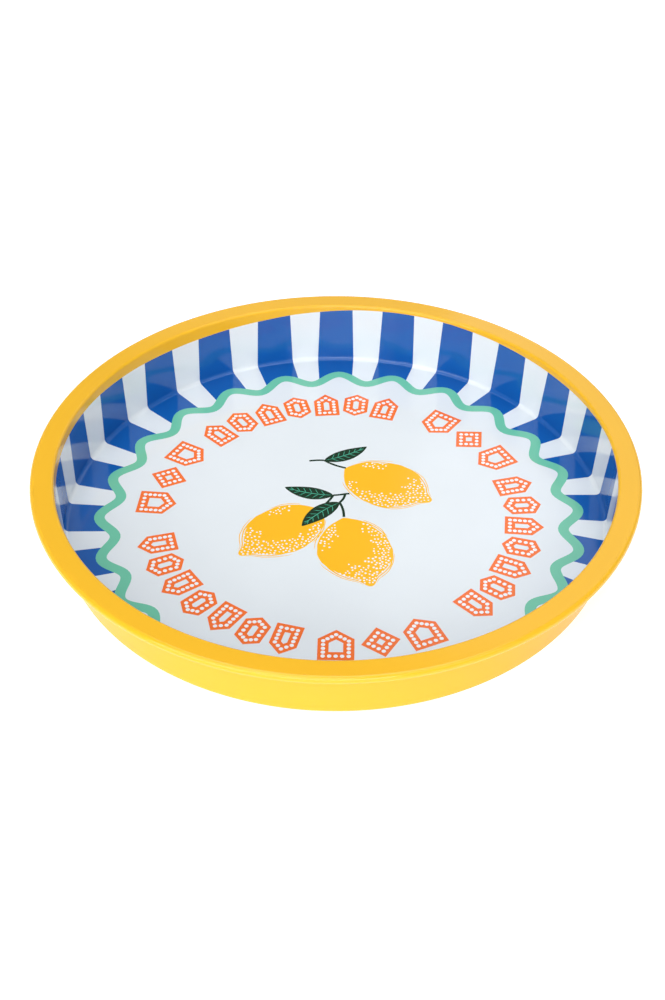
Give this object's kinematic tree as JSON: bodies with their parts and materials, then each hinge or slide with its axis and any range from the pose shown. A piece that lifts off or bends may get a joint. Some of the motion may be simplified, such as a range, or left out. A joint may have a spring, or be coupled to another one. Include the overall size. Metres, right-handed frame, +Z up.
{
  "type": "serving tray",
  "caption": "Round pressed-steel serving tray with a flat floor, upright wall, flat flange and rolled wired rim, for carrying drinks and food.",
  "frame": {"origin": "centre of the tray's resting face, on the table", "axes": "+Z up along the tray's axis, out of its open side; the printed artwork is read from -Y"},
  "size_m": [0.38, 0.38, 0.045],
  "materials": {
    "printed_tinplate": "gloss lacquer over printed steel",
    "steel_wire": "bare drawn wire"
  },
  "bodies": {
    "root": {"tray_pan": "printed_tinplate", "rim_wire": "steel_wire"}
  },
  "joints": []
}
